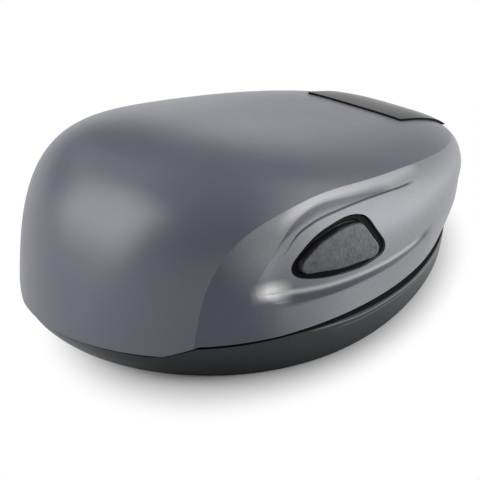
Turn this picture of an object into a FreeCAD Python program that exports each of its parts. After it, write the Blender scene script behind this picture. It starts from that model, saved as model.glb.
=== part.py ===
import FreeCAD, Part
import math
import os

from FreeCAD import Vector

os.makedirs("parts", exist_ok=True)

# Pocket stamp in millimetres. X is across, +Y is the finger end with the hinge, +Z is up.
# The origin is on the table under the middle of the body. The stamp is closed at rest.

# Upper body form. A station runs from the finger end (c = 1) to the palm end (c = -1).
FORM_LOW = 4.0
FORM_MID_Y = -1.5
FORM_HALF_LENGTH = 38.5
FORM_WIDTHS = (25.6, -4.1, -1.3, -2.0)
FORM_HEIGHTS = (18.3, -8.6, 11.1, -5.7, 3.7)
FORM_SQUARE = (3.25, 0.4)
FORM_LEAN = (0.42, 0.31)
FORM_FLARE = 0.2
FORM_SKIRT = 1.5

# Walls and general clearances
DOME_WALL = 1.8
BAND_WALL = 2.6
FIT = 0.05
SLIDE_GAP = 0.2
RUN_GAP = 0.35

# Lower edge of the upper body, and the rim of the cover below it
BAND_EDGE_Z = 5.5
SKIRT_EDGE_Z = 4.05
SKIRT_STEP_Y = (-36.2, -33.0)
SEAM_GAP_PALM = 0.5
SEAM_GAP_SIDE = 0.45
SEAM_GAP_FINGER = 1.3

# Edge between dome and band, seen from the side: (y, z) from finger end to palm end
SPLIT_LINE = (
    (44.0, 12.6), (26.5, 16.0), (9.0, 19.3), (-4.6, 21.5), (-14.5, 22.5),
    (-21.5, 21.8), (-27.0, 19.7), (-30.8, 15.6), (-33.0, 9.0), (-33.9, 2.0),
)

# Leaf on each side of the band. Station y, top edge z, then z and depth of crease, ridge and foot
LEAF = (
    (-26.9, 13.4, 13.2, -0.05, 12.6, -0.03, 12.2, -0.02),
    (-26.2, 14.6, 13.9, 0.2, 12.1, 0.15, 11.2, 0.02),
    (-25.3, 15.75, 14.7, 0.55, 11.8, 0.45, 10.75, 0.03),
    (-24.2, 16.95, 15.9, 0.95, 11.6, 0.8, 10.5, 0.08),
    (-23.0, 18.2, 17.1, 1.2, 11.45, 1.0, 10.25, 0.3),
    (-21.5, 19.6, 18.1, 1.3, 11.3, 0.95, 9.9, 0.7),
    (-19.0, 21.0, 19.2, 1.25, 11.05, 0.7, 9.4, 1.05),
    (-15.0, 21.8, 20.0, 1.15, 10.85, 0.4, 8.95, 1.2),
    (-8.0, 20.95, 19.85, 0.85, 10.78, 0.15, 8.95, 1.15),
    (0.0, 19.4, 19.05, 0.45, 10.72, 0.05, 9.15, 0.7),
    (5.0, 18.65, 18.45, 0.2, 10.9, 0.0, 9.9, 0.35),
    (8.8, 18.1, 17.95, -0.03, 11.15, -0.02, 11.0, -0.02),
)

# Side button seen from the side: outlines of its ring and of its pad as (y, z)
RING_OUTLINE = (
    (-8.2, 18.6), (-10.6, 18.95), (-13.1, 18.75), (-15.5, 18.3), (-17.6, 17.5), (-19.5, 16.3),
    (-20.65, 15.25), (-21.05, 14.35), (-20.8, 13.65), (-19.85, 13.0), (-18.1, 12.5), (-15.5, 12.15),
    (-12.6, 12.0), (-9.5, 11.95), (-6.95, 12.3), (-5.3, 12.9), (-4.95, 13.5), (-5.5, 15.1),
    (-6.3, 16.75), (-7.0, 18.0),
)
PAD_OUTLINE = (
    (-9.45, 18.05), (-12.8, 18.1), (-15.1, 17.65), (-17.0, 17.1), (-18.6, 16.2), (-19.6, 15.5),
    (-20.05, 14.8), (-19.9, 14.0), (-17.95, 13.45), (-15.35, 13.15), (-12.55, 13.0), (-9.45, 12.95),
    (-7.45, 13.1), (-6.8, 13.8), (-7.4, 15.4), (-8.15, 16.9), (-8.7, 17.75),
)
RING_GAP = 0.2
BUTTON_RING_DEPTH = 2.0
BUTTON_RING_SINK = 0.35
BUTTON_CAP_SINK = 0.55
BUTTON_CAP_BACK = 1.7
BUTTON_PAD_PROUD = 0.6
BUTTON_PAD_EDGE = 0.15
BUTTON_TRAVEL = 1.6

# Top insert
INSERT_HALF_WIDTH = 8.8
INSERT_START_Y = 23.3
INSERT_SINK = -0.3
INSERT_PEG_X = 5.0
INSERT_PEG_Y = 29.0
INSERT_PEG_LOW_Z = 13.4
INSERT_PEG_TOP_Z = 16.2
INSERT_PEG_RADIUS = 0.9

# Shallow relief round the finger end of the band, below a small lip
RELIEF_TOP_Z = 13.0
RELIEF_SHIFT = 1.6
RELIEF_GROW = 0.6
RELIEF_TILT = 3.0
RELIEF_START_Y = 10.0

# Die, a round stamp image of 40 mm
DIE_Y = -1.0
DIE_RADIUS = 20.0
DIE_FACE_Z = 3.7
DIE_RELIEF = 0.6
DIE_RUBBER = 1.2
DIE_FOAM = 1.3
DIE_PLATE = 1.2

# Chassis
CHASSIS_THICKNESS = 1.5
GUARD_WALL = 1.0
GUARD_DROP = 2.0
GUIDE_WALL = 1.0

# Latch on each side: the leg of the button and the catch of the cover
LATCH_Y = -14.5
LATCH_WIDTH = 3.6
LEG_INNER_X = 19.2
LEG_THICKNESS = 1.0
HOOK_REACH = 1.0
HOOK_LOW_Z = 6.9
HOOK_HEIGHT = 0.7
CATCH_GAP = 0.3
CATCH_HEIGHT = 0.8
CATCH_THICKNESS = 0.8
STEM_LOW_Z = 13.4
STEM_HEIGHT = 2.4
STEM_INNER_X = 16.5
STEM_OUTER_X = 30.0
SPRING_SEAT_X = 12.3
SPIGOT_RADIUS = 0.75
SPIGOT_LENGTH = 1.0

# Springs
BUTTON_SPRING_RADIUS = 1.1
BUTTON_SPRING_WIRE = 0.4
BUTTON_SPRING_TURNS = 3.5
HINGE_SPRING_RADIUS = 1.35
HINGE_SPRING_WIRE = 0.4
HINGE_SPRING_TURNS = 2.0
SPRING_POINTS = 48

# Cover
COVER_BOTTOM = (-0.55, 35.75, (25.2, -5.3, 1.2, 1.6))
COVER_RIM = (-1.0, 38.7, (25.75, -3.75, -0.95, -1.85))
COVER_HEIGHT = 5.4
COVER_WALL = 1.5
COVER_FLOOR = 1.0
FRAME_TOP_Z = 3.1
LIP_WALL = 0.9
LIP_TOP_Z = 6.3
PAD_TOP_GAP = 0.3
PAD_RADIUS = 20.4
CARTRIDGE_WALL = 0.8
CARTRIDGE_FLOOR = 0.6
CARTRIDGE_TOP_GAP = 0.1

# Hinge at the finger end, axis along X
HINGE_Y = 37.6
HINGE_Z = 7.4
HINGE_PIN_RADIUS = 0.8
HINGE_BARREL_RADIUS = 2.0
HINGE_BORE_GAP = 0.06
HINGE_COVER_HALF = 2.2
HINGE_SPRING_ROOM = 2.6
HINGE_HALF_LENGTH = 8.6
HINGE_GAP = 0.25
BAY_GAP = 0.6
BAY_BACK_Y = 35.3
BAY_TOP_Z = 12.7
BAY_LIP_Y = 36.9
ARM_HALF = 1.2
ARM_OUT = 0.6
ARM_LOW_Z = 2.6
END_WALL = 2.1
PIN_FIT = 0.02

# Screws
BAND_SCREW_PLACES = ((13.5, 19.0), (-13.5, 19.0))
DOME_SCREW_PLACES = ((9.0, -29.0), (-9.0, -29.0))
COVER_SCREW_PLACES = ((12.5, 24.0), (-12.5, 24.0), (9.5, -27.5), (-9.5, -27.5))
SCREW_SHANK = 1.0
SCREW_HEAD = 2.0
SCREW_HEAD_HEIGHT = 0.9
SCREW_LENGTH = 5.5
BOSS_RADIUS = 2.3

# Cross recess of the screws
CROSS_LENGTH = 1.2
CROSS_WIDTH = 0.2
CROSS_DEPTH = 0.5
COVER_SCREW_BITE = 0.6

# Design on the die: rings as (outer radius, width), bars and dots
DIE_RINGS = ((20.0, 1.0), (14.0, 0.6))
DIE_BAR_HALVES = (8.0, 10.5, 8.0)
DIE_BAR_PITCH = 4.6
DIE_BAR_WIDTH = 2.2
DIE_DOT_RADIUS = 0.9

# How finely the formed surfaces are worked out, and small helpers for cutting
STATIONS = 30
ROLL_STEPS = 28
END_TURN = math.radians(2.0)
FLOOR_STEPS = 4
LEAF_STEPS = 20
LEAF_DEGREE = 3
OUTLINE_STEPS = 39
EGG_STEPS = 48
COVER_LEVELS = (0.0, 0.1, 0.3, 0.6, 1.0)
RIM_SHIFT = 0.2
RIM_SLOPE_Y = (-21.0, 3.0)
LEAF_OUT_X = 34.0
LEAF_OUT_RISE = 2.0
SKIM = 0.02
FAR = 60.0


def series(values, c):
    return sum(value * c ** power for power, value in enumerate(values))


def form_point(turn, roll, inset=0.0):
    """A point of the upper body form: turn runs from finger to palm end, roll over the top."""
    c = math.cos(turn)
    s = math.sin(turn)
    half_width = s * (series(FORM_WIDTHS, c) - inset)
    height = s * (series(FORM_HEIGHTS, c) - inset)
    square = series(FORM_SQUARE, c)
    reach = (abs(math.cos(roll)) ** square + abs(math.sin(roll)) ** square) ** (-1.0 / square)
    rise = height * reach * math.sin(roll)
    x = (half_width + FORM_FLARE * s * rise) * reach * math.cos(roll)
    y = FORM_MID_Y + (FORM_HALF_LENGTH - inset) * c + series(FORM_LEAN, c) * rise
    return Vector(x, y, FORM_LOW + rise)


def form_half_width(y, z):
    """Half width of the upper body form at a place on its side."""
    rise = z - FORM_LOW
    c = (y - FORM_MID_Y - FORM_LEAN[0] * rise) / (FORM_HALF_LENGTH + FORM_LEAN[1] * rise)
    s = math.sqrt(max(1.0 - c * c, 0.0))
    height = s * series(FORM_HEIGHTS, c)
    square = series(FORM_SQUARE, c)
    full = s * series(FORM_WIDTHS, c) + FORM_FLARE * s * rise
    return full * max(1.0 - (rise / height) ** square, 0.0) ** (1.0 / square)


def box(x0, x1, y0, y1, z0, z1):
    return Part.makeBox(x1 - x0, y1 - y0, z1 - z0, Vector(x0, y0, z0))


def disc(x, y, z0, z1, radius):
    return Part.makeCylinder(radius, z1 - z0, Vector(x, y, z0), Vector(0, 0, 1))


def rod(x0, x1, y, z, radius):
    return Part.makeCylinder(radius, x1 - x0, Vector(x0, y, z), Vector(1, 0, 0))


def curve_through(points, closed=False):
    curve = Part.BSplineCurve()
    curve.interpolate(Points=points, PeriodicFlag=closed)
    return curve.toShape()


def mirrored(shape):
    return shape.mirror(Vector(0, 0, 0), Vector(1, 0, 0))


def joined(first, *others):
    result = first.fuse(list(others)).removeSplitter()
    return result.Solids[0] if len(result.Solids) == 1 else result


def save(name, shape):
    shape.exportStep("parts/" + name + ".step")
    solids = len(shape.Solids)
    print(name, "solids", solids, "volume", round(shape.Volume, 1), "valid", shape.isValid())


def form_solid(inset=0.0):
    """The closed body form, drawn in by an inset, with a straight skirt below its low plane."""
    grid = []
    for station in range(STATIONS + 1):
        turn = END_TURN + (math.pi - 2.0 * END_TURN) * station / STATIONS
        grid.append([form_point(turn, math.pi * step / ROLL_STEPS, inset) for step in range(ROLL_STEPS + 1)])
    skin = Part.BSplineSurface()
    skin.interpolate(grid)
    first_turn, last_turn, first_roll, last_roll = skin.bounds()
    arches = [skin.uIso(first_turn).toShape(), skin.uIso(last_turn).toShape()]
    sills = [Part.makeLine(row[0], row[-1]) for row in (grid[0], grid[-1])]
    sides = [skin.vIso(first_roll).toShape(), skin.vIso(last_roll).toShape()]
    ends = [Part.Face(Part.Wire([arch, sill])) for arch, sill in zip(arches, sills)]
    floor = Part.Face(Part.Wire(Part.__sortEdges__(sides + sills)))
    shell = Part.makeShell([skin.toShape(), floor] + ends)
    shell.sewShape()
    return Part.makeSolid(shell).fuse(floor.extrude(Vector(0, 0, -FORM_SKIRT)))


def side_prism(outline_edges, x0=-FAR, x1=FAR):
    """A solid of an outline drawn in the YZ plane at x = 0, run along X."""
    face = Part.Face(Part.Wire(outline_edges))
    face.translate(Vector(x0, 0, 0))
    return face.extrude(Vector(x1 - x0, 0, 0))


def below_line(points, smooth):
    """Everything under a line of (y, z) points seen from the side."""
    corners = [Vector(0, y, z) for y, z in points]
    if smooth:
        top = [curve_through(corners)]
    else:
        top = [Part.makeLine(a, b) for a, b in zip(corners, corners[1:])]
    low_end = Vector(0, corners[-1].y, -FAR)
    low_start = Vector(0, corners[0].y, -FAR)
    rest = Part.makePolygon([corners[-1], low_end, low_start, corners[0]]).Edges
    return side_prism(top + rest)


def under_split():
    return below_line(SPLIT_LINE, True)


def under_body_edge():
    step_out, step_in = SKIRT_STEP_Y
    points = ((-FAR, SKIRT_EDGE_Z), (step_out, SKIRT_EDGE_Z), (step_in, BAND_EDGE_Z), (FAR, BAND_EDGE_Z))
    return below_line(points, False)


def under_cover_rim():
    step_out, step_in = SKIRT_STEP_Y
    palm_z = SKIRT_EDGE_Z - SEAM_GAP_PALM
    side_z = BAND_EDGE_Z - SEAM_GAP_SIDE
    finger_z = BAND_EDGE_Z - SEAM_GAP_FINGER
    points = (
        (-FAR, palm_z), (step_out - RIM_SHIFT, palm_z), (step_in - RIM_SHIFT, side_z),
        (RIM_SLOPE_Y[0], side_z), (RIM_SLOPE_Y[1], finger_z), (FAR, finger_z),
    )
    return below_line(points, False)


def shell_between(inset, deeper):
    return form_solid(inset).cut(form_solid(deeper))


def facing_curve(y, z_start, z_end, depth_start, depth_end):
    """A curve up or down the side of the body at station y, set in by a changing depth."""
    points = []
    for step in range(FLOOR_STEPS + 1):
        share = step / FLOOR_STEPS
        z = z_start + (z_end - z_start) * share
        depth = depth_start + (depth_end - depth_start) * share
        points.append(Vector(form_half_width(y, z) - depth, y, z))
    return points


def table_row(table, y):
    """The row of a table of stations for any y, taken along smooth curves between its rows."""
    place = min(max(len([row for row in table if row[0] < y]), 1), len(table) - 1)
    low = table[place - 1]
    high = table[place]
    before = table[max(place - 2, 0)]
    after = table[min(place + 1, len(table) - 1)]
    gap = high[0] - low[0]
    share = (y - low[0]) / gap
    values = [y]
    for column in range(1, len(low)):
        rise = high[column] - low[column]
        slope_low = gap * (high[column] - before[column]) / (high[0] - before[0])
        slope_high = gap * (after[column] - low[column]) / (after[0] - low[0])
        bend = 3.0 * rise - 2.0 * slope_low - slope_high
        curl = slope_low + slope_high - 2.0 * rise
        values.append(low[column] + share * (slope_low + share * (bend + share * curl)))
    return values


def table_rows(table):
    """Rows all along a table, closer together towards both of its ends."""
    first = table[0][0]
    reach = table[-1][0] - first
    turns = [math.pi * step / LEAF_STEPS for step in range(LEAF_STEPS + 1)]
    return [table_row(table, first + reach * (0.5 - 0.5 * math.cos(turn))) for turn in turns]


def leaf_scoop():
    """Room outside the leaf: wall below the top edge, floor down to the ridge, then wall and foot."""
    edge = BAND_EDGE_Z - 1.0
    wires = []
    for y, z_top, z_crease, crease, z_ridge, ridge, z_foot, foot in table_rows(LEAF):
        top = Vector(form_half_width(y, z_top) + SKIM, y, z_top)
        floor = facing_curve(y, z_crease, z_ridge, crease, ridge - SKIM)
        wall = facing_curve(y, z_ridge, z_foot, ridge - SKIM, foot - SKIM)
        run_out = facing_curve(y, z_foot, edge, foot - SKIM, -SKIM)
        out_low = Vector(LEAF_OUT_X, y, edge)
        out_top = Vector(LEAF_OUT_X, y, z_top + LEAF_OUT_RISE)
        lines = Part.makePolygon([run_out[-1], out_low, out_top, top, floor[0]]).Edges
        wires.append(Part.Wire([curve_through(floor), curve_through(wall), curve_through(run_out)] + lines))
    return Part.makeLoft(wires, True, False, False, LEAF_DEGREE)


def outline_prism(table, offset):
    """An outline of the button drawn in or out by an offset, run along X on the right side."""
    outline = curve_through([Vector(0, y, z) for y, z in table], True)
    loop = outline.Curve
    first = loop.FirstParameter
    last = loop.LastParameter
    points = []
    for step in range(OUTLINE_STEPS):
        place = first + (last - first) * step / OUTLINE_STEPS
        along = loop.tangent(place)[0]
        point = loop.value(place) + Vector(0, along.z, -along.y).multiply(offset)
        if outline.distToShape(Part.Vertex(point))[0] > abs(offset) - SKIM:
            points.append(point)
    return side_prism([curve_through(points, True)], 0.0, FAR)


def shifted(shape, dx):
    copy = shape.copy()
    copy.translate(Vector(dx, 0, 0))
    return copy


def bossed(shell, places, wall, split=None):
    """A shell with a bored boss for a screw at each place, from the chassis up into its wall."""
    low = chassis_top()
    for x, y in places:
        boss = disc(x, y, low, FAR, BOSS_RADIUS).common(form_solid(wall / 2))
        if split:
            boss = boss.common(split)
        shell = shell.fuse(boss).cut(disc(x, y, low, low + SCREW_LENGTH, SCREW_SHANK + FIT))
    return shell


def dome_shell(split):
    dome = shell_between(0.0, DOME_WALL).cut([split, under_body_edge(), insert_room(0.0, -FAR)])
    return bossed(dome, DOME_SCREW_PLACES, DOME_WALL)


def insert_room(grow, z0):
    return box(-INSERT_HALF_WIDTH - grow, INSERT_HALF_WIDTH + grow, INSERT_START_Y - grow, FAR, z0, FAR)


def insert_pegs(radius):
    places = (-INSERT_PEG_X, INSERT_PEG_X)
    return [disc(x, INSERT_PEG_Y, INSERT_PEG_LOW_Z, INSERT_PEG_TOP_Z, radius) for x in places]


def top_insert(split):
    lifted = split.copy()
    lifted.translate(Vector(0, 0, FIT))
    plate = form_solid(INSERT_SINK).common(insert_room(-FIT, 0.0)).cut(lifted)
    return joined(plate, *insert_pegs(INSERT_PEG_RADIUS))


def bay_roof():
    return HINGE_Z + HINGE_BARREL_RADIUS + BAY_GAP


def hinge_bay(back_y):
    """Room for the hinge at the finger end, from a back wall out."""
    half = HINGE_HALF_LENGTH + BAY_GAP
    deep = box(-half, half, back_y, FAR, -FAR, bay_roof())
    high = box(-half, half, BAY_LIP_Y, FAR, -FAR, BAY_TOP_Z)
    return deep.fuse(high)


def relieved(band):
    """The band with its finger end drawn in below the lip; the relief fades out along the sides."""
    zone = box(-FAR, FAR, RELIEF_START_Y, FAR, 0, RELIEF_TOP_Z)
    kept = form_solid(-RELIEF_GROW)
    kept.translate(Vector(0, -RELIEF_SHIFT, 0))
    kept.rotate(Vector(0, HINGE_Y, BAND_EDGE_Z), Vector(1, 0, 0), RELIEF_TILT)
    return band.cut(zone.cut(kept))


def grip_band(split, scoop):
    band = relieved(shell_between(0.0, BAND_WALL).common(split).cut(under_body_edge()))
    band = bossed(band, BAND_SCREW_PLACES, BAND_WALL, split)
    hole = outline_prism(RING_OUTLINE, FIT)
    tools = [scoop, mirrored(scoop), hole, mirrored(hole), hinge_bay(BAY_BACK_Y - END_WALL - FIT)]
    return band.cut(tools + insert_pegs(INSERT_PEG_RADIUS + FIT))


def die_top():
    return DIE_FACE_Z + DIE_RUBBER + DIE_FOAM + DIE_PLATE


def chassis_top():
    return die_top() + CHASSIS_THICKNESS


def button_guide():
    """Guide walls, end wall and shelf of the right button, standing on the chassis."""
    half = LATCH_WIDTH / 2 + SLIDE_GAP
    low = die_top()
    top = STEM_LOW_Z + STEM_HEIGHT + SLIDE_GAP
    x0 = SPRING_SEAT_X - GUIDE_WALL
    x1 = LEG_INNER_X + LEG_THICKNESS - SLIDE_GAP
    y0 = LATCH_Y - half
    y1 = LATCH_Y + half
    block = box(x0, x1, y0 - GUIDE_WALL, y1 + GUIDE_WALL, low, top)
    channel = box(SPRING_SEAT_X, FAR, y0, y1, low, FAR)
    shelf_end = LEG_INNER_X - BUTTON_TRAVEL - SLIDE_GAP
    shelf = box(SPRING_SEAT_X, shelf_end, y0, y1, low, STEM_LOW_Z - SLIDE_GAP)
    return block.cut(channel).fuse(shelf)


def button_slot():
    half = LATCH_WIDTH / 2 + SLIDE_GAP
    x0 = LEG_INNER_X - BUTTON_TRAVEL - SLIDE_GAP
    return box(x0, FAR, LATCH_Y - half, LATCH_Y + half, HOOK_LOW_Z - CATCH_GAP, STEM_LOW_Z)


def body_knuckle(x0, x1):
    barrel = rod(x0, x1, HINGE_Y, HINGE_Z, HINGE_BARREL_RADIUS)
    arm = box(x0, x1, BAY_BACK_Y, HINGE_Y, HINGE_Z - ARM_HALF, HINGE_Z + ARM_HALF)
    return barrel.fuse(arm)


def hinge_end(inner):
    """Wall across the finger end of the chassis; it closes the hinge bay and carries the knuckles."""
    half = HINGE_HALF_LENGTH + BAY_GAP / 2
    y0 = BAY_BACK_Y - END_WALL
    roof = bay_roof() - FIT
    low = box(-half, half, y0, BAY_BACK_Y, HINGE_Z - ARM_HALF, roof)
    high = box(-half, half, y0, BAY_BACK_Y, roof, BAY_TOP_Z).common(inner)
    return low.fuse(high)


def die_guard():
    low = die_top() - GUARD_DROP
    room = DIE_RADIUS + RUN_GAP
    return disc(0, DIE_Y, low, die_top(), room + GUARD_WALL).cut(disc(0, DIE_Y, low, die_top(), room))


def chassis():
    inner = form_solid(BAND_WALL + FIT)
    plate = box(-FAR, FAR, -FAR, FAR, die_top(), chassis_top()).common(inner).cut(hinge_bay(BAY_BACK_Y))
    guide = button_guide()
    slot = button_slot()
    parts = [hinge_end(inner), die_guard(), guide, mirrored(guide)]
    frame = plate.fuse(parts).cut([slot, mirrored(slot)])
    spring_end = HINGE_COVER_HALF + HINGE_SPRING_ROOM + HINGE_GAP
    right = body_knuckle(spring_end, HINGE_HALF_LENGTH)
    left = body_knuckle(-HINGE_HALF_LENGTH, -HINGE_COVER_HALF - HINGE_GAP)
    holes = [disc(x, y, 0, FAR, SCREW_SHANK + SLIDE_GAP) for x, y in BAND_SCREW_PLACES + DOME_SCREW_PLACES]
    bore = rod(-FAR, FAR, HINGE_Y, HINGE_Z, HINGE_PIN_RADIUS + PIN_FIT)
    return frame.fuse([right, left]).cut(holes + [bore]).removeSplitter()


def screw(x, y, head_z, length, up):
    """A pan head screw that points up or down from the face its head rests on."""
    sign = 1 if up else -1
    head = Part.makeCylinder(SCREW_HEAD, SCREW_HEAD_HEIGHT, Vector(x, y, head_z), Vector(0, 0, -sign))
    shank = Part.makeCylinder(SCREW_SHANK, length, Vector(x, y, head_z), Vector(0, 0, sign))
    cross_z = head_z - sign * SCREW_HEAD_HEIGHT
    slots = [
        box(x - CROSS_LENGTH, x + CROSS_LENGTH, y - CROSS_WIDTH, y + CROSS_WIDTH,
            cross_z - CROSS_DEPTH, cross_z + CROSS_DEPTH),
        box(x - CROSS_WIDTH, x + CROSS_WIDTH, y - CROSS_LENGTH, y + CROSS_LENGTH,
            cross_z - CROSS_DEPTH, cross_z + CROSS_DEPTH),
    ]
    return head.fuse(shank).cut(slots)


def frame_screws():
    screws = []
    for x, y in BAND_SCREW_PLACES + DOME_SCREW_PLACES:
        screws.append(screw(x, y, die_top(), CHASSIS_THICKNESS + SCREW_LENGTH - RUN_GAP, True))
    return Part.makeCompound(screws)


def rubber_die():
    """The die with a generic design: two rings, a row of bars and four dots."""
    plate_z = DIE_FACE_Z + DIE_RELIEF
    back = disc(0, DIE_Y, plate_z, DIE_FACE_Z + DIE_RUBBER, DIE_RADIUS)
    raised = []
    for radius, width in DIE_RINGS:
        ring = disc(0, DIE_Y, DIE_FACE_Z, plate_z, radius)
        raised.append(ring.cut(disc(0, DIE_Y, DIE_FACE_Z, plate_z, radius - width)))
    for row, half in zip(range(-1, 2), DIE_BAR_HALVES):
        y = DIE_Y + row * DIE_BAR_PITCH
        raised.append(box(-half, half, y - DIE_BAR_WIDTH / 2, y + DIE_BAR_WIDTH / 2, DIE_FACE_Z, plate_z))
    dots_at = (DIE_RINGS[0][0] - DIE_RINGS[0][1] + DIE_RINGS[1][0]) / 2
    for quarter in range(4):
        angle = math.pi * (quarter + 0.5) / 2
        place = (dots_at * math.cos(angle), DIE_Y + dots_at * math.sin(angle))
        raised.append(disc(place[0], place[1], DIE_FACE_Z, plate_z, DIE_DOT_RADIUS))
    return back.fuse(raised).removeSplitter()


def button_body(scoop):
    """Cap, stem, latch leg and hook of the right button in one moulding."""
    cap = outline_prism(PAD_OUTLINE, 0.0).common(shifted(scoop, -BUTTON_CAP_BACK))
    y0 = LATCH_Y - LATCH_WIDTH / 2
    y1 = LATCH_Y + LATCH_WIDTH / 2
    stem_top = STEM_LOW_Z + STEM_HEIGHT
    stem = box(STEM_INNER_X, STEM_OUTER_X, y0, y1, STEM_LOW_Z, stem_top)
    leg_x = LEG_INNER_X + LEG_THICKNESS
    leg = box(LEG_INNER_X, leg_x, y0, y1, HOOK_LOW_Z, stem_top)
    hook = box(leg_x, leg_x + HOOK_REACH, y0, y1, HOOK_LOW_Z, HOOK_LOW_Z + HOOK_HEIGHT)
    middle_z = STEM_LOW_Z + STEM_HEIGHT / 2
    spigot = rod(STEM_INNER_X - SPIGOT_LENGTH, STEM_INNER_X, LATCH_Y, middle_z, SPIGOT_RADIUS)
    trimmed = cap.fuse(stem).cut(shifted(scoop, -BUTTON_CAP_SINK))
    return joined(trimmed, leg, hook, spigot)


def button_pad(scoop):
    """The soft pad on the cap, drawn in at its outer edge in one small step."""
    seat = shifted(scoop, -BUTTON_CAP_SINK)
    shoulder = shifted(scoop, BUTTON_PAD_PROUD - BUTTON_PAD_EDGE)
    base = outline_prism(PAD_OUTLINE, 0.0).common(seat).cut(shoulder)
    face = outline_prism(PAD_OUTLINE, -BUTTON_PAD_EDGE).common(seat).cut(shifted(scoop, BUTTON_PAD_PROUD))
    return base.fuse(face)


def button_ring(scoop):
    ring = outline_prism(RING_OUTLINE, 0.0).cut(outline_prism(PAD_OUTLINE, RING_GAP))
    return ring.common(shifted(scoop, -BUTTON_RING_DEPTH)).cut(shifted(scoop, -BUTTON_RING_SINK))


def arc_between(start, along, end):
    """An arc of a circle from a point, along a direction, to another point."""
    chord = end - start
    reach = chord.Length
    unit = chord * (1.0 / reach)
    share = along.dot(unit)
    middle = (start + end) * 0.5 + (along - unit * share) * (0.5 * reach / (1.0 + share))
    return Part.Arc(start, middle, end).toShape()


def biarc(start, along, end, after):
    """Two arcs that run on smoothly from one point and direction to the next."""
    chord = end - start
    spread = 2.0 * (1.0 - along.dot(after))
    lean = chord.dot(along + after)
    reach = (math.sqrt(lean * lean + spread * chord.dot(chord)) - lean) / spread
    joint = (start + end + (along - after) * reach) * 0.5
    return [arc_between(start, along, joint), arc_between(end, after * -1.0, joint)]


def wound_spring(x0, x1, y, z, radius, wire, turns):
    """A coil of round wire about an axis along X, one tube along biarcs of a quarter turn."""
    reach = x1 - x0 - wire
    pitch = reach / turns

    def at(angle):
        x = x0 + wire / 2 + pitch * angle / (2.0 * math.pi)
        return Vector(x, y + radius * math.cos(angle), z + radius * math.sin(angle))

    def along(angle):
        step = Vector(pitch / (2.0 * math.pi), -radius * math.sin(angle), radius * math.cos(angle))
        return step.normalize()

    quarters = [math.pi * step / 2.0 for step in range(round(turns * 4) + 1)]
    arcs = []
    for a, b in zip(quarters, quarters[1:]):
        arcs.extend(biarc(at(a), along(a), at(b), along(b)))
    count = round(turns * SPRING_POINTS)
    points = [at(2.0 * math.pi * step / SPRING_POINTS) for step in range(count + 1)]
    print("least gap of a spring to itself", round(least_gap(points) - wire, 2))
    section = Part.Circle(at(0.0), along(0.0), wire / 2)
    return Part.Wire(arcs).makePipeShell([Part.Wire([section.toShape()])], True, False)


def least_gap(points):
    """Least distance between points of a coil that lie half a turn or more apart."""
    apart = SPRING_POINTS // 2
    return min(a.distanceToPoint(b) for place, a in enumerate(points) for b in points[place + apart:])


def button_spring():
    z = STEM_LOW_Z + STEM_HEIGHT / 2
    ends = (SPRING_SEAT_X, STEM_INNER_X)
    return wound_spring(*ends, LATCH_Y, z, BUTTON_SPRING_RADIUS, BUTTON_SPRING_WIRE, BUTTON_SPRING_TURNS)


def hinge_spring():
    x0 = HINGE_COVER_HALF + HINGE_GAP
    ends = (x0, x0 + HINGE_SPRING_ROOM - HINGE_GAP)
    return wound_spring(*ends, HINGE_Y, HINGE_Z, HINGE_SPRING_RADIUS, HINGE_SPRING_WIRE, HINGE_SPRING_TURNS)


def egg_wire(centre, half_length, widths, z, inset=0.0):
    points = []
    for step in range(EGG_STEPS):
        turn = 2.0 * math.pi * step / EGG_STEPS
        c = math.cos(turn)
        s = math.sin(turn)
        x = s * (series(widths, c) - inset)
        points.append(Vector(x, centre + (half_length - inset) * c, z))
    return Part.Wire([curve_through(points, True)])


def cover_form(inset, z0):
    """The bowl of the cover, from its flat bottom out to its rim."""
    wires = []
    for share in COVER_LEVELS:
        z = z0 + (COVER_HEIGHT - z0) * share
        spread = 1.0 - (1.0 - z / COVER_HEIGHT) ** 2
        centre = COVER_BOTTOM[0] + (COVER_RIM[0] - COVER_BOTTOM[0]) * spread
        half = COVER_BOTTOM[1] + (COVER_RIM[1] - COVER_BOTTOM[1]) * spread
        widths = [low + (rim - low) * spread for low, rim in zip(COVER_BOTTOM[2], COVER_RIM[2])]
        wires.append(egg_wire(centre, half, widths, z, inset))
    return Part.makeLoft(wires, True, False)


def cover_shell():
    bowl = cover_form(0.0, 0.0).cut(cover_form(COVER_WALL, COVER_FLOOR)).common(under_cover_rim())
    barrel = rod(-HINGE_COVER_HALF, HINGE_COVER_HALF, HINGE_Y, HINGE_Z, HINGE_BARREL_RADIUS)
    arm = box(-HINGE_COVER_HALF, HINGE_COVER_HALF, HINGE_Y - ARM_HALF, HINGE_Y + ARM_OUT, ARM_LOW_Z, HINGE_Z)
    bore = rod(-FAR, FAR, HINGE_Y, HINGE_Z, HINGE_PIN_RADIUS + HINGE_BORE_GAP)
    seats = [disc(x, y, COVER_FLOOR - COVER_SCREW_BITE, COVER_FLOOR, SCREW_SHANK + FIT)
             for x, y in COVER_SCREW_PLACES]
    return bowl.fuse([barrel, arm]).cut([bore] + seats)


def catch():
    """Catch of the cover on the right side: a tab with a ledge that points inwards."""
    half = LATCH_WIDTH / 2
    leg_x = LEG_INNER_X + LEG_THICKNESS
    tab_x = leg_x + HOOK_REACH + CATCH_GAP
    ledge_z = HOOK_LOW_Z + HOOK_HEIGHT + CATCH_GAP
    top = ledge_z + CATCH_HEIGHT
    tab = box(tab_x, tab_x + CATCH_THICKNESS, LATCH_Y - half, LATCH_Y + half, FRAME_TOP_Z - FIT, top)
    ledge = box(leg_x + CATCH_GAP, tab_x, LATCH_Y - half, LATCH_Y + half, ledge_z, top)
    return tab.fuse(ledge)


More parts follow.
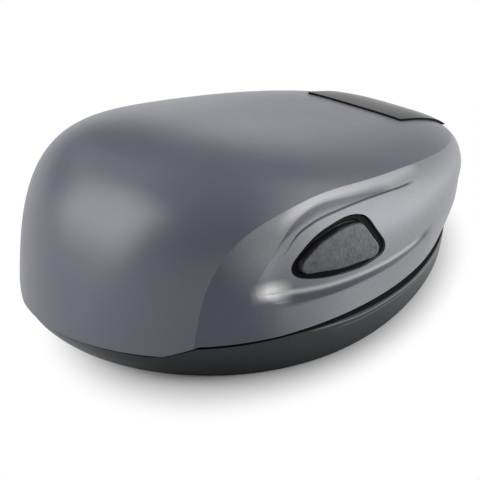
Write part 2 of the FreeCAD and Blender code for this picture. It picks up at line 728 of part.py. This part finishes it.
def pad_frame():
    layer = box(-FAR, FAR, -FAR, FAR, COVER_FLOOR, FRAME_TOP_Z)
    plate = cover_form(COVER_WALL + FIT, COVER_FLOOR).common(layer)
    lip_out = BAND_WALL + RUN_GAP
    lip = shell_between(lip_out, lip_out + LIP_WALL)
    lip = lip.common(box(-FAR, FAR, -FAR, FAR, FRAME_TOP_Z - FIT, LIP_TOP_Z))
    gap_half = HINGE_HALF_LENGTH + BAY_GAP + BAY_GAP
    lip = lip.cut(box(-gap_half, gap_half, 0, FAR, 0, FAR))
    right = catch()
    well = disc(0, DIE_Y, 0, FRAME_TOP_Z, PAD_RADIUS + CARTRIDGE_WALL + 2 * FIT)
    holes = []
    for x, y in COVER_SCREW_PLACES:
        holes.append(disc(x, y, 0, FRAME_TOP_Z, SCREW_SHANK + FIT))
        holes.append(disc(x, y, FRAME_TOP_Z - SCREW_HEAD_HEIGHT, FRAME_TOP_Z, SCREW_HEAD + FIT))
    return plate.fuse([lip, right, mirrored(right)]).cut([well] + holes).removeSplitter()


def cover_screws():
    seat = FRAME_TOP_Z - SCREW_HEAD_HEIGHT
    length = seat - COVER_FLOOR + COVER_SCREW_BITE - FIT
    return Part.makeCompound([screw(x, y, seat, length, False) for x, y in COVER_SCREW_PLACES])


def pad_cartridge():
    low = COVER_FLOOR + FIT
    outer = disc(0, DIE_Y, low, FRAME_TOP_Z - CARTRIDGE_TOP_GAP, PAD_RADIUS + FIT + CARTRIDGE_WALL)
    return outer.cut(disc(0, DIE_Y, low + CARTRIDGE_FLOOR, FAR, PAD_RADIUS + FIT))


def ink_pad():
    return disc(0, DIE_Y, COVER_FLOOR + FIT + CARTRIDGE_FLOOR, DIE_FACE_Z - PAD_TOP_GAP, PAD_RADIUS)


def make_all():
    split = under_split()
    scoop = leaf_scoop()
    save("dome_shell", dome_shell(split))
    save("grip_band", grip_band(split, scoop))
    save("top_insert", top_insert(split))
    save("chassis", chassis())
    save("frame_screws", frame_screws())
    foam_z = DIE_FACE_Z + DIE_RUBBER
    save("rubber_die", rubber_die())
    save("die_cushion", disc(0, DIE_Y, foam_z, foam_z + DIE_FOAM, DIE_RADIUS))
    save("die_plate", disc(0, DIE_Y, foam_z + DIE_FOAM, die_top(), DIE_RADIUS))
    right_pieces = {
        "button": button_body(scoop),
        "button_pad": button_pad(scoop),
        "button_ring": button_ring(scoop),
        "button_spring": button_spring(),
    }
    for name, shape in right_pieces.items():
        save("right_" + name, shape)
        save("left_" + name, mirrored(shape))
    save("hinge_pin", rod(-HINGE_HALF_LENGTH, HINGE_HALF_LENGTH, HINGE_Y, HINGE_Z, HINGE_PIN_RADIUS))
    save("hinge_spring", hinge_spring())
    save("cover_shell", cover_shell())
    save("pad_frame", pad_frame())
    save("cover_screws", cover_screws())
    save("pad_cartridge", pad_cartridge())
    save("ink_pad", ink_pad())


make_all()
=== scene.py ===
import math

import bpy
from mathutils import Matrix, Vector


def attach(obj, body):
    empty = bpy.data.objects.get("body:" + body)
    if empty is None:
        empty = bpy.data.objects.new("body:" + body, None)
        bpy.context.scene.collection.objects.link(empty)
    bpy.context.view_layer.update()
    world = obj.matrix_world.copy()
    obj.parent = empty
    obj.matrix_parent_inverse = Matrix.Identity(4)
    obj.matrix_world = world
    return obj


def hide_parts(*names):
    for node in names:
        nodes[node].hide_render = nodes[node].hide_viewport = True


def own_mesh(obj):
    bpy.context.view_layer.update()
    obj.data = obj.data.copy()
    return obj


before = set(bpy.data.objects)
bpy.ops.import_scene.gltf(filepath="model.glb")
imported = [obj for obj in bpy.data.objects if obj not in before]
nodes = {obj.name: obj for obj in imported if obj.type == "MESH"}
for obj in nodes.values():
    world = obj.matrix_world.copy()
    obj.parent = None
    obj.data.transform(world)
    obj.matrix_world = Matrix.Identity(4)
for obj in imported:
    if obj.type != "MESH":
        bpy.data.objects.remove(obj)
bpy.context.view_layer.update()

# Camera: place, aim and lens of the photograph
CAMERA_AIM = Vector((0.0, -0.0117, 0.015))
CAMERA_AZIMUTH = math.radians(40.0)
CAMERA_HEIGHT = math.radians(24.0)
CAMERA_DISTANCE = 0.320
CAMERA_FOCAL_PIXELS = 2244.0
PICTURE_PIXELS = 480.0
AIM_PIXEL = (206.3, 199.9)
SENSOR = 36.0
CAMERA_CLIP = (0.01, 20.0)

# Lamps: name, place, edge length, watts; all of them point at one place
LAMPS = (
    ("back_box", (0.42, 0.60, 0.34), 0.85, 4.1),
    ("side_box", (0.67, 0.36, 0.26), 0.80, 1.9),
    ("palm_box", (-0.40, -0.54, 0.45), 0.60, 4.5),
    ("left_box", (-0.57, 0.0, 0.58), 0.45, 0.5),
)
LAMP_AIM = (0.0, 0.0, 0.01)
WORLD_LIGHT = 0.12
# The white backdrop in reflections: height as a sine from and to, and its strength there
BACKDROP = (0.0, 0.35, 1.0, 0.1)
FLOOR_SIZE = 8.0
FLOOR_HEIGHT = -0.00005
# Greys of the floor under the stamp, a painted shadow to the camera and in reflections
FLOOR_SHADOW_GREYS = ((0.61, 0.61, 0.62), (0.63, 0.63, 0.64))
FLOOR_BOUNCE = (0.20, 0.20, 0.21)
# The floor is grey inside an oval under the stamp, a painted shadow, and goes to plain white
# round it: its centre, turn and half lengths, and where the change starts and ends, with 1 on the oval
SHADE_CENTRE = (0.0011, 0.0, 0.0)
SHADE_TURN = (0.0, 0.0, 0.335)
SHADE_HALVES = (0.0284, 0.0463, 1.0)
SHADE_SPAN = (0.734, 1.043)

# Dark line painted as the shade of a hair groove along the top of the leaf, seen from the side: (y, z)
GROOVE_LINE = (
    (-0.0222, 0.0161), (-0.0209, 0.0172), (-0.0197, 0.0182), (-0.01845, 0.0189), (-0.0166, 0.01945),
    (-0.0149, 0.01975), (-0.0123, 0.0199), (-0.0097, 0.0199), (-0.0055, 0.0197), (-0.0010, 0.01925),
    (0.0030, 0.0187), (0.0072, 0.0182),
)
# Painted highlight just under the rim of the cover, and a fainter one below it: (y, z)
RIM_LINE = (
    (-0.0190, 0.0048), (-0.0141, 0.0045), (-0.0086, 0.0041), (-0.0004, 0.0039), (0.0090, 0.00355),
    (0.0151, 0.0034), (0.0210, 0.0033),
)
LOWER_LINE = (
    (-0.0150, 0.0039), (-0.0086, 0.0035), (-0.0004, 0.0033), (0.0090, 0.0030), (0.0151, 0.00285),
    (0.0190, 0.0028),
)
# Colours of the two painted highlight lines, and their half width and soft edge
RIM_HIGHLIGHT_COLOUR = (0.30, 0.31, 0.33)
LOWER_HIGHLIGHT_COLOUR = (0.13, 0.135, 0.145)
RIM_HALF_WIDTH = 0.00005
RIM_EDGE = 0.00012
# Painted shade along the middle of the leaf's upper wall and of the slope under it, and painted
# highlights along its ridge, its nose and the light strip of the band over it: (y, z)
LEAF_WALL = (
    (-0.0246, 0.0158), (-0.0230, 0.0172), (-0.0210, 0.0190), (-0.0190, 0.0201), (-0.0170, 0.0207),
    (-0.0145, 0.0211), (-0.0115, 0.0210), (-0.0080, 0.0206), (-0.0040, 0.0202), (0.0010, 0.0196),
)
LEAF_UNDER = (
    (-0.0242, 0.0104), (-0.0220, 0.0102), (-0.0190, 0.0099), (-0.0150, 0.0097), (-0.0110, 0.0096),
    (-0.0050, 0.0097), (0.0, 0.0101), (0.0030, 0.0105), (0.0060, 0.0110), (0.0085, 0.0114),
)
LEAF_RIDGE = (
    (-0.0242, 0.0116), (-0.0215, 0.0114), (-0.0190, 0.01120), (-0.0150, 0.01100), (-0.0080, 0.01095),
    (0.0, 0.0111), (0.0050, 0.0115),
)
LEAF_NOSE = ((-0.0275, 0.0123), (-0.0258, 0.0123), (-0.0238, 0.0122), (-0.0210, 0.0117))
BAND_STRIP = (
    (-0.0225, 0.0200), (-0.0200, 0.0213), (-0.0170, 0.0220), (-0.0140, 0.0222), (-0.0110, 0.0220),
    (-0.0070, 0.0215), (-0.0030, 0.0209), (0.0010, 0.0203), (0.0050, 0.0198), (0.0110, 0.0190),
)
# Their colours, half widths, soft edges and strengths
LEAF_PAINTED_LIGHT = (
    (LEAF_WALL, (0.11, 0.115, 0.145), 0.0003, 0.0006, 0.65),
    (LEAF_UNDER, (0.06, 0.065, 0.09), 0.0005, 0.0005, 0.85),
    (LEAF_RIDGE, (0.75, 0.75, 0.77), 0.0001, 0.0004, 0.65),
    (BAND_STRIP, (0.75, 0.75, 0.77), 0.0002, 0.0006, 0.50),
    (LEAF_NOSE, (0.95, 0.95, 0.94), 0.0002, 0.0013, 0.95),
)
# The painted groove shade: its colour, half width and soft edge
GROOVE_SHADE_COLOUR = (0.05, 0.05, 0.06)
GROOVE_HALF_WIDTH = 0.00008
GROOVE_EDGE = 0.00012
# A line fades out over this length at each end, or over this share of a short line
LINE_FADE = 0.003
SHORT_LINE_FADE = 0.4
# The band's flakes between two silvers. Its colour darkens towards the palm between two y as
# painted shade, and sooner where it is low
SILVERS = ((0.30, 0.305, 0.33), (0.355, 0.36, 0.385))
PAINTED_SHADE_COLOUR = (0.092, 0.100, 0.136)
BAND_SHADE = (-0.0180, -0.0262)
BAND_SHADE_TILT = 0.35
# Under the ring this painted shade comes sooner, by a share, between two y, fading out between two heights
FOOT_SHADE = (-0.0070, -0.0235)
FOOT_TOP = (0.0120, 0.0170)
FOOT_SHARE = 0.60
PAD_WALL_BLACK = (0.006, 0.007, 0.009)
# How far the roughness of a soft-touch face goes up and down
TOUCH_SPREAD = 0.04
# The drawn lines of the metal: how dark, and how much rougher
LINE_DARK = 0.88
LINE_ROUGH = 0.12

# Soft pads: an even mesh, its edge rounded, and an attribute that is 0 on the side wall and
# 1 on the face, by the outward share of the normal
PAD_VOXEL = 0.00013
PAD_ROUNDING = 0.5
PAD_ROUNDS = 5
PAD_FACE = "pad_face"
PAD_WALL_TURN = (0.55, 0.80)
# Triangles of a copied node are joined where their corners are nearer than this
MERGE = 0.000002
COIL_SMOOTH = math.radians(50.0)


def place_camera():
    """The camera looks at its aim first, then turns until the aim lies at its pixel."""
    back = Vector((
        math.sin(CAMERA_AZIMUTH) * math.cos(CAMERA_HEIGHT),
        -math.cos(CAMERA_AZIMUTH) * math.cos(CAMERA_HEIGHT),
        math.sin(CAMERA_HEIGHT),
    ))
    ahead = -back
    side = ahead.cross(Vector((0.0, 0.0, 1.0))).normalized()
    up = side.cross(ahead)
    half = PICTURE_PIXELS / 2.0
    centre_ray = ahead * CAMERA_FOCAL_PIXELS + side * (half - AIM_PIXEL[0]) - up * (half - AIM_PIXEL[1])
    turn = ahead.rotation_difference(centre_ray.normalized())
    axes = Matrix((side, up, back)).transposed()
    data = bpy.data.cameras.new("camera")
    data.sensor_width = SENSOR
    data.lens = SENSOR * CAMERA_FOCAL_PIXELS / PICTURE_PIXELS
    data.clip_start, data.clip_end = CAMERA_CLIP
    camera = bpy.data.objects.new("camera", data)
    bpy.context.scene.collection.objects.link(camera)
    camera.matrix_world = (turn.to_matrix() @ axes).to_4x4()
    camera.location = CAMERA_AIM + back * CAMERA_DISTANCE
    bpy.context.scene.camera = camera


# Finishes


class Finish:
    """One node material, built up step by step from object coordinates in metres."""

    def __init__(self, name):
        self.material = bpy.data.materials.new(name)
        self.material.use_nodes = True
        self.tree = self.material.node_tree
        self.shader = self.tree.nodes["Principled BSDF"]
        self.place = self.tree.nodes.new("ShaderNodeTexCoord").outputs["Object"]

    def set(self, **values):
        """Values that are the same all over the surface."""
        for name, value in values.items():
            self.shader.inputs[name.replace("_", " ")].default_value = value

    def noise(self, size, detail=3.0, rough=0.5, stretch=None):
        """Noise whose blobs are about the given size in metres."""
        node = self.tree.nodes.new("ShaderNodeTexNoise")
        node.inputs["Scale"].default_value = 1.0 / size
        node.inputs["Detail"].default_value = detail
        node.inputs["Roughness"].default_value = rough
        place = self.place
        if stretch:
            mapping = self.tree.nodes.new("ShaderNodeMapping")
            mapping.inputs["Scale"].default_value = stretch
            self.tree.links.new(place, mapping.inputs["Vector"])
            place = mapping.outputs["Vector"]
        self.tree.links.new(place, node.inputs["Vector"])
        return node.outputs["Fac"]

    def cells(self, size):
        """Cells of about the given size in metres, 0 in their middles."""
        node = self.tree.nodes.new("ShaderNodeTexVoronoi")
        node.inputs["Scale"].default_value = 1.0 / size
        self.tree.links.new(self.place, node.inputs["Vector"])
        return node.outputs["Distance"]

    def ramp(self, value, *stops):
        """Colours at their places from 0 to 1."""
        node = self.tree.nodes.new("ShaderNodeValToRGB")
        ramp = node.color_ramp
        while len(ramp.elements) < len(stops):
            ramp.elements.new(0.5)
        for element, (place, colour) in zip(ramp.elements, stops):
            element.position = place
            element.color = (*colour, 1.0)
        self.tree.links.new(value, node.inputs["Fac"])
        return node.outputs["Color"]

    def blend(self, colour, other, share):
        """One colour output, mixed towards a plain colour by a share from 0 to 1."""
        node = self.tree.nodes.new("ShaderNodeMix")
        node.data_type = "RGBA"
        self.tree.links.new(share, node.inputs["Factor"])
        self.tree.links.new(colour, node.inputs["A"])
        node.inputs["B"].default_value = (*other, 1.0)
        return node.outputs["Result"]

    def calculate(self, operation, first, second):
        """A Math node on two values, each an output of a node or a plain number."""
        node = self.tree.nodes.new("ShaderNodeMath")
        node.operation = operation
        for socket, value in zip(node.inputs, (first, second)):
            if isinstance(value, float):
                socket.default_value = value
            else:
                self.tree.links.new(value, socket)
        return node.outputs["Value"]

    def span(self, value, start, end, low=0.0, high=1.0):
        """A value taken from one span to another, 0 to 1 unless given, and held at its ends."""
        node = self.tree.nodes.new("ShaderNodeMapRange")
        for name, number in zip(("From Min", "From Max", "To Min", "To Max"), (start, end, low, high)):
            node.inputs[name].default_value = number
        self.tree.links.new(value, node.inputs["Value"])
        return node.outputs["Result"]

    def axis(self, letter):
        """The place on the object along one axis."""
        split = self.tree.nodes.new("ShaderNodeSeparateXYZ")
        self.tree.links.new(self.place, split.inputs["Vector"])
        return split.outputs[letter]

    def along_line(self, line, half_width, edge):
        """1 near a line of (y, z) seen from the side, 0 away from it, fading at both ends."""
        across, height = self.axis("Y"), self.axis("Z")
        y_low, y_high = line[0][0], line[-1][0]
        heights = [z for y, z in line]
        z_low, z_high = min(heights), max(heights)
        curve = self.tree.nodes.new("ShaderNodeFloatCurve")
        track = curve.mapping.curves[0]
        shares = [((y - y_low) / (y_high - y_low), (z - z_low) / (z_high - z_low)) for y, z in line]
        track.points[0].location = shares[0]
        track.points[1].location = shares[-1]
        for share in shares[1:-1]:
            track.points.new(*share)
        curve.mapping.update()
        self.tree.links.new(self.span(across, y_low, y_high), curve.inputs["Value"])
        level = self.span(curve.outputs["Value"], 0.0, 1.0, z_low, z_high)
        off = self.calculate("ABSOLUTE", self.calculate("SUBTRACT", height, level), 0.0)
        near = self.span(off, half_width, half_width + edge, 1.0, 0.0)
        fade = min(LINE_FADE, SHORT_LINE_FADE * (y_high - y_low))
        start = self.span(across, y_low, y_low + fade)
        end = self.span(across, y_high - fade, y_high, 1.0, 0.0)
        return self.calculate("MULTIPLY", near, self.calculate("MULTIPLY", start, end))

    def toward_palm(self, ends, tilt=0.0):
        """0 at the first y, 1 at the second one, softly between, with height counted in by a tilt."""
        run = self.calculate("ADD", self.axis("Y"), self.calculate("MULTIPLY", self.axis("Z"), tilt))
        share = self.span(run, *ends)
        share.node.interpolation_type = "SMOOTHSTEP"
        return share

    def below(self, low, high):
        """1 under the first height, 0 over the second one."""
        return self.span(self.axis("Z"), low, high, 1.0, 0.0)

    def feed(self, name, output):
        """A value that changes over the surface."""
        self.tree.links.new(output, self.shader.inputs[name])

    def rough(self, value, low, high):
        """Roughness that follows a value from 0 to 1 between two levels."""
        self.feed("Roughness", self.span(value, 0.0, 1.0, low, high))

    def bump(self, *layers):
        """Layers are (value, depth in metres, strength); each one lies on the one before."""
        normal = None
        for value, depth, strength in layers:
            node = self.tree.nodes.new("ShaderNodeBump")
            node.inputs["Distance"].default_value = depth
            node.inputs["Strength"].default_value = strength
            self.tree.links.new(value, node.inputs["Height"])
            if normal:
                self.tree.links.new(normal, node.inputs["Normal"])
            normal = node.outputs["Normal"]
        self.feed("Normal", normal)


def soft_touch(name, colour, spread, roughness, grain=0.00035, depth=0.00002):
    """Matt plastic or rubber: a colour that clouds by a share, and a fine grain of a size and depth."""
    finish = Finish(name)
    clouds = finish.noise(0.012, detail=4.0, rough=0.6)
    low = tuple(c * (1.0 - spread) for c in colour)
    high = tuple(c * (1.0 + spread) for c in colour)
    finish.feed("Base Color", finish.ramp(clouds, (0.3, low), (0.7, high)))
    finish.rough(finish.noise(0.004), roughness - TOUCH_SPREAD, roughness + TOUCH_SPREAD)
    finish.bump((finish.noise(grain, detail=2.0), depth, 0.6))
    return finish


def dome_finish():
    finish = soft_touch("dome_soft_touch", (0.142, 0.150, 0.192), spread=0.04, roughness=0.37)
    finish.set(Specular_IOR_Level=0.75, Sheen_Weight=0.25, Sheen_Roughness=0.35)
    return finish.material


def band_finish():
    """Silver lacquer with fine flakes, painted shade and painted highlights, and a dark line
    painted as the shade of a hair groove along the top of the leaf.
    """
    finish = Finish("band_silver_lacquer")
    flakes = finish.cells(0.00016)
    silver = finish.ramp(flakes, (0.2, SILVERS[0]), (0.8, SILVERS[1]))
    # Painted shade: the band darkens towards the palm, and sooner low down under the ring
    foot_shade = finish.calculate("MULTIPLY", finish.toward_palm(FOOT_SHADE), finish.below(*FOOT_TOP))
    silver = finish.blend(silver, PAINTED_SHADE_COLOUR, finish.calculate("MULTIPLY", foot_shade, FOOT_SHARE))
    silver = finish.blend(silver, PAINTED_SHADE_COLOUR, finish.toward_palm(BAND_SHADE, BAND_SHADE_TILT))
    # Painted shade and painted highlights on the leaf and the strip over it
    for line, colour, half_width, edge, share in LEAF_PAINTED_LIGHT:
        painted_light = finish.calculate("MULTIPLY", finish.along_line(line, half_width, edge), share)
        silver = finish.blend(silver, colour, painted_light)
    # A dark line painted as the shade of a hair groove along the top of the leaf
    groove = finish.along_line(GROOVE_LINE, GROOVE_HALF_WIDTH, GROOVE_EDGE)
    finish.feed("Base Color", finish.blend(silver, GROOVE_SHADE_COLOUR, groove))
    finish.rough(finish.noise(0.003), 0.40, 0.46)
    finish.set(Metallic=0.3)
    finish.bump((finish.noise(0.0003, detail=2.0), 0.00001, 0.4))
    return finish.material


def insert_finish():
    finish = Finish("insert_gloss")
    clouds = finish.noise(0.005)
    black = finish.ramp(clouds, (0.3, (0.012, 0.013, 0.015)), (0.7, (0.018, 0.019, 0.021)))
    finish.feed("Base Color", black)
    finish.rough(finish.noise(0.002), 0.16, 0.22)
    finish.set(Specular_IOR_Level=0.03)
    finish.bump((finish.noise(0.002, detail=2.0), 0.00001, 0.3))
    return finish.material


def cover_finish():
    """Charcoal with fine satin grain, and two painted highlight lines along the rim of its sides."""
    finish = soft_touch(
        "cover_charcoal", (0.030, 0.035, 0.040), spread=0.06, roughness=0.42, grain=0.0005, depth=0.000015
    )
    plain = finish.shader.inputs["Base Color"].links[0].from_socket
    # Painted highlights along the rim
    bright = finish.along_line(RIM_LINE, RIM_HALF_WIDTH, RIM_EDGE)
    faint = finish.along_line(LOWER_LINE, RIM_HALF_WIDTH, RIM_EDGE)
    lined = finish.blend(plain, RIM_HIGHLIGHT_COLOUR, bright)
    finish.set(Specular_IOR_Level=0.35)
    finish.feed("Base Color", finish.blend(lined, LOWER_HIGHLIGHT_COLOUR, faint))
    return finish.material


def inner_finish():
    return soft_touch(
        "inner_charcoal", (0.022, 0.023, 0.026), spread=0.08, roughness=0.5, grain=0.0006, depth=0.00003
    ).material


def button_finish():
    return soft_touch("button_charcoal", (0.020, 0.021, 0.024), spread=0.08, roughness=0.45).material


def ring_finish():
    finish = soft_touch("ring_black", (0.007, 0.008, 0.010), spread=0.08, roughness=0.5)
    finish.set(Specular_IOR_Level=0.06)
    return finish.material


def pad_grain_finish():
    """Fine leather grain on the face of the pad, and black side walls."""
    finish = Finish("button_pad_leather_grain")
    mottle = finish.noise(0.0010, detail=5.0, rough=0.75)
    grain = finish.ramp(mottle, (0.35, (0.085, 0.089, 0.099)), (0.65, (0.190, 0.195, 0.210)))
    face = finish.tree.nodes.new("ShaderNodeAttribute")
    face.attribute_name = PAD_FACE
    wall = finish.span(face.outputs["Fac"], 0.0, 1.0, 1.0, 0.0)
    finish.feed("Base Color", finish.blend(grain, PAD_WALL_BLACK, wall))
    finish.rough(mottle, 0.40, 0.55)
    finish.set(Specular_IOR_Level=0.5)
    finish.bump((finish.cells(0.0006), 0.00007, 0.6), (finish.noise(0.00025), 0.00003, 0.5))
    return finish.material


def steel_finish(name, colour, roughness, stretch):
    """Bright metal with drawn lines, which run along the axis that is stretched least."""
    finish = Finish(name)
    lines = finish.noise(0.0005, rough=0.6, stretch=stretch)
    low = tuple(c * LINE_DARK for c in colour)
    finish.feed("Base Color", finish.ramp(lines, (0.3, low), (0.7, colour)))
    finish.rough(lines, roughness, roughness + LINE_ROUGH)
    finish.set(Metallic=1.0)
    finish.bump((lines, 0.00001, 0.4))
    return finish.material


def rubber_finish():
    return soft_touch(
        "die_red_rubber", (0.32, 0.055, 0.030), spread=0.10, roughness=0.62, grain=0.0004, depth=0.00003
    ).material


def foam_finish():
    finish = Finish("die_foam")
    pores = finish.cells(0.0006)
    finish.feed("Base Color", finish.ramp(pores, (0.1, (0.012, 0.012, 0.013)), (0.6, (0.045, 0.045, 0.048))))
    finish.set(Roughness=0.95)
    finish.bump((pores, 0.0003, 1.0))
    return finish.material


def plate_finish():
    return soft_touch("die_plate_white", (0.62, 0.62, 0.60), spread=0.04, roughness=0.4).material


def cartridge_finish():
    return soft_touch("cartridge_grey", (0.030, 0.033, 0.040), spread=0.08, roughness=0.45).material


def felt_finish():
    finish = Finish("ink_pad_felt")
    fibres = finish.noise(0.0004, detail=6.0, rough=0.7)
    wet = finish.noise(0.006)
    ink = finish.ramp(fibres, (0.25, (0.004, 0.004, 0.012)), (0.75, (0.016, 0.016, 0.040)))
    finish.feed("Base Color", ink)
    finish.rough(wet, 0.35, 0.7)
    finish.bump((fibres, 0.0003, 1.0))
    return finish.material


def dress_nodes():
    steel = steel_finish("zinc_plated_steel", (0.60, 0.61, 0.63), roughness=0.28, stretch=(1.0, 1.0, 0.2))
    wire = steel_finish("spring_wire", (0.55, 0.55, 0.57), roughness=0.25, stretch=(0.2, 1.0, 1.0))
    inner = inner_finish()
    button = button_finish()
    ring = ring_finish()
    grain = pad_grain_finish()
    wear = {
        "dome_shell": dome_finish(),
        "grip_band": band_finish(),
        "top_insert": insert_finish(),
        "chassis": inner,
        "frame_screws": steel,
        "die_plate": plate_finish(),
        "die_cushion": foam_finish(),
        "rubber_die": rubber_finish(),
        "right_button": button,
        "left_button": button,
        "right_button_pad": grain,
        "left_button_pad": grain,
        "right_button_ring": ring,
        "left_button_ring": ring,
        "right_button_spring": wire,
        "left_button_spring": wire,
        "hinge_pin": steel,
        "hinge_spring": wire,
        "cover_shell": cover_finish(),
        "pad_frame": inner,
        "cover_screws": steel,
        "pad_cartridge": cartridge_finish(),
        "ink_pad": felt_finish(),
    }
    for name, material in wear.items():
        data = nodes[name].data
        data.materials.clear()
        data.materials.append(material)


# Button pads and springs


def merged_copy(node, ending):
    """A new piece with the same mesh as a node, its loose triangles joined."""
    bpy.ops.object.select_all(action="DESELECT")
    piece = bpy.data.objects.new(node + ending, nodes[node].data.copy())
    bpy.context.scene.collection.objects.link(piece)
    piece.select_set(True)
    bpy.context.view_layer.objects.active = piece
    bpy.ops.object.mode_set(mode="EDIT")
    bpy.ops.mesh.select_all(action="SELECT")
    bpy.ops.mesh.remove_doubles(threshold=MERGE)
    bpy.ops.object.mode_set(mode="OBJECT")
    return piece


def soft_pad(node, body, outward, material):
    """The pad again with a soft rounded edge, marked where its face ends and its side wall starts."""
    pad = merged_copy(node, "_soft")
    even = pad.modifiers.new("even", "REMESH")
    even.mode = "VOXEL"
    even.voxel_size = PAD_VOXEL
    bpy.ops.object.modifier_apply(modifier=even.name)
    round_edge = pad.modifiers.new("round_edge", "SMOOTH")
    round_edge.factor = PAD_ROUNDING
    round_edge.iterations = PAD_ROUNDS
    bpy.ops.object.modifier_apply(modifier=round_edge.name)
    bpy.ops.object.shade_smooth()
    start, end = PAD_WALL_TURN
    shares = [(point.normal.x * outward - start) / (end - start) for point in pad.data.vertices]
    face = pad.data.attributes.new(PAD_FACE, "FLOAT", "POINT")
    face.data.foreach_set("value", [min(max(share, 0.0), 1.0) for share in shares])
    pad.data.materials.clear()
    pad.data.materials.append(material)
    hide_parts(node)
    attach(pad, body)
    return pad


def add_pads():
    for node, body, outward in (
        ("right_button_pad", "right_button", 1.0),
        ("left_button_pad", "left_button", -1.0),
    ):
        pad = soft_pad(node, body, outward, nodes[node].data.materials[0])


def add_springs():
    """Each button spring again, a smooth-shaded copy that rides on the body in place of its node."""
    for node, joint, end in (
        ("right_button_spring", "right_button_press", 0),
        ("left_button_spring", "left_button_press", 1),
    ):
        coil = merged_copy(node, "_coil")
        bpy.ops.object.shade_smooth_by_angle(angle=COIL_SMOOTH)
        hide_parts(node)
        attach(coil, "body")
        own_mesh(coil)


# Studio


def soft_box(name, place, size, watts):
    """A square lamp that points at the stamp."""
    data = bpy.data.lights.new(name, "AREA")
    data.energy = watts
    data.shape = "SQUARE"
    data.size = size
    lamp = bpy.data.objects.new(name, data)
    bpy.context.scene.collection.objects.link(lamp)
    lamp.location = place
    lamp.rotation_mode = "QUATERNION"
    lamp.rotation_quaternion = (Vector(LAMP_AIM) - Vector(place)).to_track_quat("-Z", "Y")


def seen_ray(tree):
    """1 for rays of the camera and of reflections, 0 for soft light."""
    path = tree.nodes.new("ShaderNodeLightPath")
    seen = path.outputs["Is Camera Ray"]
    for name in ("Is Glossy Ray", "Is Transmission Ray"):
        either = tree.nodes.new("ShaderNodeMath")
        either.operation = "MAXIMUM"
        tree.links.new(seen, either.inputs[0])
        tree.links.new(path.outputs[name], either.inputs[1])
        seen = either.outputs["Value"]
    return seen


def floor_material():
    """Grey under the stamp as a painted shadow and plain white round it to the camera and in
    reflections, and darker to the soft light that it throws back."""
    finish = Finish("floor_white_with_painted_shadow")
    low, high = FLOOR_SHADOW_GREYS
    # Painted shadow: these greys show to the camera inside the oval
    shadow_grey = finish.ramp(finish.noise(0.2, detail=2.0), (0.0, low), (1.0, high))
    seen = seen_ray(finish.tree)
    mix = finish.tree.nodes.new("ShaderNodeMix")
    mix.data_type = "RGBA"
    mix.inputs["A"].default_value = (*FLOOR_BOUNCE, 1.0)
    finish.tree.links.new(seen, mix.inputs["Factor"])
    finish.tree.links.new(shadow_grey, mix.inputs["B"])
    finish.feed("Base Color", mix.outputs["Result"])
    finish.set(Roughness=0.9, Specular_IOR_Level=0.0)
    oval = finish.tree.nodes.new("ShaderNodeMapping")
    oval.vector_type = "TEXTURE"
    oval.inputs["Location"].default_value = SHADE_CENTRE
    oval.inputs["Rotation"].default_value = SHADE_TURN
    oval.inputs["Scale"].default_value = SHADE_HALVES
    away = finish.tree.nodes.new("ShaderNodeVectorMath")
    away.operation = "LENGTH"
    finish.tree.links.new(finish.place, oval.inputs["Vector"])
    finish.tree.links.new(oval.outputs["Vector"], away.inputs[0])
    share = finish.span(away.outputs["Value"], *SHADE_SPAN)
    share.node.interpolation_type = "SMOOTHSTEP"
    white = finish.tree.nodes.new("ShaderNodeEmission")
    mixed = finish.tree.nodes.new("ShaderNodeMixShader")
    finish.tree.links.new(finish.calculate("MULTIPLY", seen, share), mixed.inputs["Fac"])
    finish.tree.links.new(finish.shader.outputs["BSDF"], mixed.inputs[1])
    finish.tree.links.new(white.outputs["Emission"], mixed.inputs[2])
    surface = finish.tree.nodes["Material Output"].inputs["Surface"]
    finish.tree.links.new(mixed.outputs["Shader"], surface)
    return finish.material


def add_floor():
    bpy.ops.object.select_all(action="DESELECT")
    bpy.ops.mesh.primitive_plane_add(size=FLOOR_SIZE, location=(0.0, 0.0, FLOOR_HEIGHT))
    floor = bpy.context.object
    floor.name = "floor"
    floor.data.materials.append(floor_material())


def add_backdrop():
    """White low down and darker higher up to the camera and in reflections, and faint as a light."""
    world = bpy.data.worlds.new("world")
    world.use_nodes = True
    tree = world.node_tree
    background = tree.nodes["Background"]
    background.inputs["Color"].default_value = (1.0, 1.0, 1.0, 1.0)
    split = tree.nodes.new("ShaderNodeSeparateXYZ")
    tree.links.new(tree.nodes.new("ShaderNodeTexCoord").outputs["Generated"], split.inputs["Vector"])
    backdrop = tree.nodes.new("ShaderNodeMapRange")
    backdrop.interpolation_type = "SMOOTHSTEP"
    for name, number in zip(("From Min", "From Max", "To Min", "To Max"), BACKDROP):
        backdrop.inputs[name].default_value = number
    tree.links.new(split.outputs["Z"], backdrop.inputs["Value"])
    level = tree.nodes.new("ShaderNodeMix")
    level.inputs["A"].default_value = WORLD_LIGHT
    tree.links.new(seen_ray(tree), level.inputs["Factor"])
    tree.links.new(backdrop.outputs["Result"], level.inputs["B"])
    tree.links.new(level.outputs["Result"], background.inputs["Strength"])
    bpy.context.scene.world = world


place_camera()
dress_nodes()
add_pads()
add_springs()
add_floor()
add_backdrop()
for name, place, size, watts in LAMPS:
    soft_box(name, place, size, watts)

bpy.context.scene.view_settings.view_transform = "Standard"
